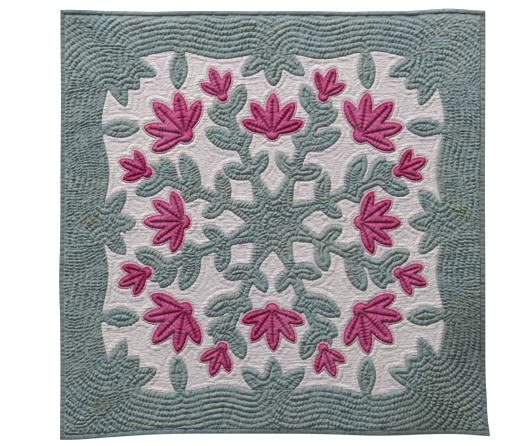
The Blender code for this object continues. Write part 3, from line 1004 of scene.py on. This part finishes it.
def leaf_cloth(name, part, cell, material):
    """The border or the medallion: green cloth, quilted, with its edges turned under."""
    reach = HALF - LEAF_INSET

    def plan(x, y):
        inside = np.maximum(np.abs(x) - reach[0], np.abs(y) - reach[1])
        return np.maximum(np.maximum(leaf_plan(x, y), part(x, y)), inside)

    places, faces = cut_out(*lattice(cell, -reach - cell, reach + cell), plan, cell)
    places, puff, away = quilted(places, cell)
    puff = puff * held_down(places)
    heights = PATCH_FLAT + PATCH_PUFF * puff - FOLD_DEPTH * EDGE_DROP * np.exp(-away / EDGE_DROP_REACH)
    cut_cloth(name, (places, heights, faces, puff), material)


def ground_cloth(material):
    """The cream square, fine where it shows and coarse where other cloths cover it."""
    half = HALF - CLOTH_INSET
    within = half - HIDDEN_MARGIN
    fine, _ = lattice(GROUND_CELL, -half, half)
    hidden, _ = lattice(HIDDEN_CELL, -within, within)
    fine = fine[GROUND_OVERLAP + cover_plan(*fine.T) > 0]
    hidden = hidden[(HIDDEN_MARGIN + cover_plan(*hidden.T) < 0) & (np.abs(hidden) < within).all(axis=1)]
    along = np.linspace(-1, 1, 120)[:, None]
    sides = [stacked(along * half[0], 0 * along + side * half[1]) for side in (-1, 1)]
    sides += [stacked(0 * along + side * half[0], along * half[1])[1:-1] for side in (-1, 1)]
    places, puff, away = quilted(fine, GROUND_CELL, GROUND_CRUMPLE, level=True)
    bare = cover_plan(*places.T) > 0
    puff = puff * bare * (OPEN_LOFT + (1 - OPEN_LOFT) * np.exp(-((away / OPEN_FROM) ** 4)))
    rest = np.vstack([hidden] + sides)
    places = np.vstack([places, rest])
    puff = np.concatenate([puff, np.zeros(len(rest))])
    cloth = places, GROUND_FLAT + GROUND_PUFF * puff, covering(places), puff
    made = piece("ground_cloth", cloth, material, "quilt_body")


def covering(places):
    """Triangles between scattered points."""
    filled = geometry.delaunay_2d_cdt([Vector(place) for place in places.tolist()], [], [], 0, 1e-7)
    origin = np.array([numbers[0] for numbers in filled[3]])
    return origin[np.array(filled[2])]


def backing_cloth(material):
    """The plain back, pulled up a little along the quilting rows."""
    half = HALF - CLOTH_INSET
    points, faces = lattice(BACK_CELL, -half, half - BACK_CELL / 2)
    points = 2 * half * (points + half) / (points.max(axis=0) + half) - half
    places, puff, _ = quilted(points, BACK_CELL)
    room = (HALF - np.abs(places)).min(axis=1)
    share = limited((room - BINDING_WIDTH) / BACK_EDGE_REACH)
    heights = (1 - share) * BACK_EDGE + share * BACK_RELIEF * (1 - limited(puff))
    made = piece("backing_cloth", (places, heights, faces[:, ::-1], puff), material, "quilt_body")


def stitches(name, places, ways, level, material):
    """Short stitches of thread lying in the rows, as one piece."""
    grain = np.array([(-1, 0, -0.4), (0, -1, 0), (1, 0, -0.4), (0, 1, 0), (0, 0, 1)])
    sides = np.array([(0, 1, 4), (1, 2, 4), (2, 3, 4), (3, 0, 4)])
    along = grain[:, 0] * STITCH_LENGTH / 2
    across = grain[:, 1] * STITCH_WIDTH / 2
    x = places[:, 0, None] + ways[:, 0, None] * along - ways[:, 1, None] * across
    y = places[:, 1, None] + ways[:, 1, None] * along + ways[:, 0, None] * across
    heights = np.full(len(places), level + STITCH_RISE)[:, None] + grain[:, 2] * STITCH_WIDTH / 2
    faces = (np.arange(len(places))[:, None, None] * len(grain) + sides).reshape(-1, 3)
    points = stacked(x.ravel(), y.ravel())
    piece(name, (points, heights.ravel(), faces, np.ones(len(points))), material)


def all_stitches(cream, green):
    """The thread of the rows, where no binding and no edge of another cloth covers it."""
    places, ways = (np.vstack(values) for values in zip(*[spaced(line, STITCH_STEP) for line in ROWS]))
    room = (HALF - np.abs(places)).min(axis=1)
    to_leaf = leaf_plan(*places.T)
    on_leaf = (to_leaf < -STITCH_ROOM) & (room > BINDING_WIDTH + STITCH_ROOM)
    bare = (to_leaf > STITCH_ROOM) & (rim_plan(*places.T) > STITCH_ROOM)
    stitches("leaf_stitches", places[on_leaf], ways[on_leaf], PATCH_FLAT, green)
    stitches("ground_stitches", places[bare], ways[bare], GROUND_FLAT, cream)


def blossom_middles():
    """Each blossom's and bud's middle and size, numbered anticlockwise from +X as the solids are."""
    middles = {}
    bud = BLOSSOMS[2]
    for number in range(8):
        _, distance, angle, _, size, _ = BLOSSOMS[number % 2]
        way = polar(1, angle + 45 * (number - number % 2))
        middles[f"blossom_{number + 1}"] = (way * (distance + MIDDLE_SHARE * size), size)
        side = 1 if number % 2 == 0 else -1
        way = polar(1, 90 * ((number + 1) // 2) + side * bud[2])
        middles[f"bud_{number + 1}"] = (way * (bud[1] + MIDDLE_SHARE * bud[4]), bud[4])
    return middles


def petal_veins():
    """The sewn veins of the petals, all round the quilt."""
    veins = {}
    for _, distance, angle, heading, size, petals in BLOSSOMS:
        foot = polar(distance, angle)
        for turn, length, _ in PETALS[petals]:
            for side in (-1, 1):
                ahead = polar(length * size, heading + side * turn)
                vein = np.array([foot + share * ahead for share in VEIN_SHARE])
                for flip in ((1, 1), (-1, 1), (1, -1), (-1, -1)):
                    for turned in (vein * flip, vein[:, ::-1] * flip):
                        veins[tuple(np.round(turned.ravel(), 5) + 0.0)] = turned
    return list(veins.values())


def petal_seams():
    """Places along the petals' edges and veins, and how creased the cloth is at each."""
    dice = np.random.default_rng(SEED + 1)
    places, depths = [], []
    for line in PETAL_LINES + petal_veins():
        place, _ = spaced(line, SEAM_STEP)
        stops = np.cumsum(dice.uniform(*TICK_SPACING, CREASE_COUNT))
        deep = dice.uniform(*TICK_DEPTH, CREASE_COUNT)
        along = SEAM_STEP * (np.arange(len(place)) + 0.5)
        closest = np.abs(along[:, None] - stops[None]).argmin(axis=1)
        places.append(place)
        depths.append(deep[closest] * notch(along - stops[closest], TICK_REACH))
    return np.vstack(places), np.concatenate(depths)


PETAL_SEAMS, SEAM_DEPTHS = petal_seams()
SEAM_TREE = tree_of(PETAL_SEAMS)


def petal_puff(places):
    """How puffed the petals are: pulled down to their seams, and creased beside them."""
    away, number = nearest(SEAM_TREE, places)
    ticks = np.clip(1 - SEAM_DEPTHS[number] * np.exp(-away / TICK_FADE), 0.1, 1)
    dome = np.sin(np.pi / 2 * limited(away / PETAL_DOME)) ** 0.8
    return dome * ticks * layered(places, PETAL_LOFT_LAYERS, 1)


def rim_puff(places):
    """How puffed the pale rims are, with the creases of the petals' seams beside them."""
    _, seam = nearest(SEAM_TREE, places)
    across = limited(petal_plan(*places.T) / RIM_WIDTH)
    return np.sin(np.pi * across) ** 0.7 * limited(1 - 0.8 * SEAM_DEPTHS[seam])


def rim_mesh(centre, reach, own):
    """One blossom's pale cloth, with coarse triangles where the petals cover it."""
    fine, _ = lattice(RIM_CELL, centre - reach, centre + reach)
    coarse, _ = lattice(HIDDEN_CELL * 0.6, centre - reach, centre + reach)
    shows = petal_plan(*fine.T) > -RIM_OVERLAP
    fine = fine[shows & (rim_plan(*fine.T) < -0.5 * RIM_CELL)]
    coarse = coarse[petal_plan(*coarse.T) < -0.0060]
    edge = [spaced(line, RIM_CELL * 0.8)[0] for line in RIM_LINES if own(*line.mean(axis=0)) < 0]
    inner = np.vstack([fine, coarse])
    places = np.vstack([inner[own(*inner.T) < 0]] + edge)
    faces = covering(places)
    middle = places[faces].mean(axis=1)
    return places, faces[rim_plan(*middle.T) < 0]


def blossoms(pale, deep):
    """The rim and the petals of each blossom and bud."""
    middles = blossom_middles()
    for number, (name, (centre, size)) in enumerate(middles.items()):
        reach = size * 1.05 + 0.01

        def own(x, y):
            """Below zero where this blossom is the nearest one."""
            reaches = [np.hypot(x - c[0], y - c[1]) / s for c, s in middles.values()]
            return (reaches[number] - np.min(reaches, axis=0)) - 1e-9

        places, faces = rim_mesh(centre, reach, own)
        puff = rim_puff(places)
        heights = RIM_FLAT + RIM_PUFF * puff * layered(places, RIM_LOFT_LAYERS, 1)
        title = name.replace("_", "_rim_")
        cut_cloth(title, (places, heights, faces, puff), pale, turned=False)

        points, faces = lattice(PETAL_CELL, centre - reach, centre + reach)
        mine = own(*points.T) < 0
        faces = faces[mine[faces].all(axis=1)]
        places, faces = cut_out(points, faces, petal_plan, PETAL_CELL)
        puff = petal_puff(places)
        cut_cloth(name, (places, PETAL_FLAT + PETAL_PUFF * puff, faces, puff), deep)


def binding_columns(length, turn):
    """A binding's mesh columns from -1 to 1, with one in each crease, and how creased each is."""
    upright = turn % 180 // 90
    dice = np.random.default_rng(SEED + 30 + turn)
    stops = np.cumsum(dice.uniform(*BINDING_SPACING[upright], 200))
    stops = np.concatenate([[0], stops[stops < length - BINDING_END_ROOM], [length]])
    depths = dice.uniform(*BINDING_DEPTH[upright], len(stops))
    columns, creased = [], []
    for number in range(len(stops) - 1):
        before, after = stops[number : number + 2]
        parts = max(2, round((after - before) / BINDING_CELL))
        along = np.linspace(before, after, parts, endpoint=False)
        near = depths[number] * notch(along - before, BINDING_REACH)
        far = depths[number + 1] * notch(along - after, BINDING_REACH)
        columns.append(along)
        creased.append(np.maximum(near, far))
    columns = np.append(np.concatenate(columns), length)
    return 2 * columns / length - 1, np.append(np.concatenate(creased), 0.0)


def binding(side, turn, material):
    """One bound edge: a strip folded round from back to front, with mitred ends."""
    upright = turn % 180 // 90
    angle = math.radians(turn)
    half = HALF[::-1] if upright else HALF
    columns, column_depths = binding_columns(2 * half[0], turn)
    count = len(columns)
    bends, insets, levels = zip(*(BINDING_PROFILE if turn else TOP_PROFILE))
    around = np.linspace(0, 1, BINDING_STEPS)
    share, turned = (values.ravel() for values in np.meshgrid(columns, around, indexing="ij"))
    pulled = np.repeat(column_depths, BINDING_STEPS)
    inset, height = np.interp(turned, bends, insets), np.interp(turned, bends, levels)
    along = share * half[0]
    near = stacked(along, half[1] - inset)
    crown = limited((height - BINDING_CROWN[0]) / BINDING_CROWN[1])
    waves = layered(near, BINDING_WAVE_LAYERS, seed=turn)
    slant = 0 if upright else 0.8
    slanted = stacked(along + slant * inset, 0.1 * inset)
    pleats = PLEAT_SHARE * notch(unevenness(slanted, PLEAT_SIZE, 22 + turn), PLEAT_REACH)
    pleats = np.maximum(pleats, pulled)
    front = turned < FRONT_SHARE
    inset = inset + front * SEAM_WANDER * unevenness(near * (1, 0), SEAM_WANDER_SIZE, 23 + turn)
    if upright:
        lower = BINDING_SEAM + BINDING_SIDE_SHARE * (height - BINDING_SEAM)
        height = np.where(height > BINDING_SEAM, lower, height)
    heights = height + crown * (BINDING_WAVES[1 if turn else 0] * waves - PLEAT_DEPTH * pleats)
    # This puff is low where the strip turns under and in its creases and pleats, and the material paints it
    # darker there as shade.
    puff = limited(crown * (0.85 + 0.25 * waves) - 0.6 * crown * pleats)
    mitre = limited((np.abs(along) - half[0]) / MITRE_REACH + 1)
    x = along - np.sign(share) * inset * mitre
    y = half[1] - inset
    cosine, sine = math.cos(angle), math.sin(angle)
    places = stacked(x * cosine - y * sine, x * sine + y * cosine)
    first = (np.arange(count - 1)[:, None] * BINDING_STEPS + np.arange(BINDING_STEPS - 1)).ravel()
    after = first + BINDING_STEPS
    faces = [stacked(first, first + 1, after + 1), stacked(first, after + 1, after)]
    faces = np.vstack(faces)
    made = piece(f"binding_{side}_cloth", (places, heights, faces, puff), material, f"binding_{side}")


# The setting

def key_light():
    light = bpy.data.lights.new("key", "AREA")
    light.energy = KEY_POWER
    light.size = KEY_SIZE
    lamp = placed("key", light)
    lamp.location = KEY_PLACE
    lamp.rotation_euler = (-Vector(KEY_PLACE)).to_track_quat("-Z", "Y").to_euler()


def pale_floor():
    floor = bpy.data.meshes.new("floor")
    corners = [(x * FLOOR_REACH, y * FLOOR_REACH, 0) for x, y in ((-1, -1), (1, -1), (1, 1), (-1, 1))]
    floor.from_pydata(corners, [], [(0, 1, 2, 3)])
    glow = {"Emission_Color": (1, 1, 1, 1), "Emission_Strength": 0.9}
    paper, _ = shaded("white_floor", Base_Color=FLOOR_COLOUR, Roughness=0.9, **glow)
    floor.materials.append(paper)
    ground = placed("floor", floor)
    ground.location.z = -FLOOR_DROP


def setting():
    """The floor, the light and the camera."""
    scene = bpy.context.scene
    scene.view_settings.view_transform = "Standard"
    pale_floor()
    world = bpy.data.worlds.new("studio")
    world.use_nodes = True
    sky = world.node_tree.nodes["Background"].inputs
    sky["Color"].default_value = WORLD_COLOUR
    sky["Strength"].default_value = WORLD_STRENGTH
    scene.world = world
    key_light()

    camera = placed("camera", bpy.data.cameras.new("camera"))
    camera.data.sensor_width = SENSOR_WIDTH
    camera.data.lens = SENSOR_WIDTH * VIEW_DISTANCE / (PICTURE_WIDTH * PIXEL)
    camera.location = (VIEW_MIDDLE[0], VIEW_MIDDLE[1], VIEW_DISTANCE)
    scene.camera = camera


def main():
    # The number after each cotton's colours is how strongly painted shade darkens its rows' valleys; the
    # petals also get a painted highlight with some wear on their crowns.
    cream = cotton("ground", GROUND_COLOURS, 0.25, wrinkles=0.85, stretch=3.4)
    green = cotton("leaf", LEAF_COLOURS, 0.35, stains=STAINS_AND_TONE_PATCHES)
    pale = cotton("rim", RIM_COLOURS, 0.6)
    deep = cotton("petal", PETAL_COLOURS, 1.0, valley_shade_end=0.75, wear_and_highlight=0.6, shine=0.02)
    edging = cotton("binding", BINDING_COLOURS, 0.6, stains=STAINS_AND_TONE_PATCHES + BINDING_TONE_PATCHES)

    backing_cloth(cream)
    ground_cloth(cream)
    leaf_cloth("leaf_border", outer_part, BORDER_CELL, green)
    leaf_cloth("leaf_medallion", inner_part, MEDALLION_CELL, green)
    blossoms(pale, deep)
    all_stitches(cream, green)
    for side, turn in (("top", 0), ("left", 90), ("bottom", 180), ("right", 270)):
        binding(side, turn, edging)


setting()
main()
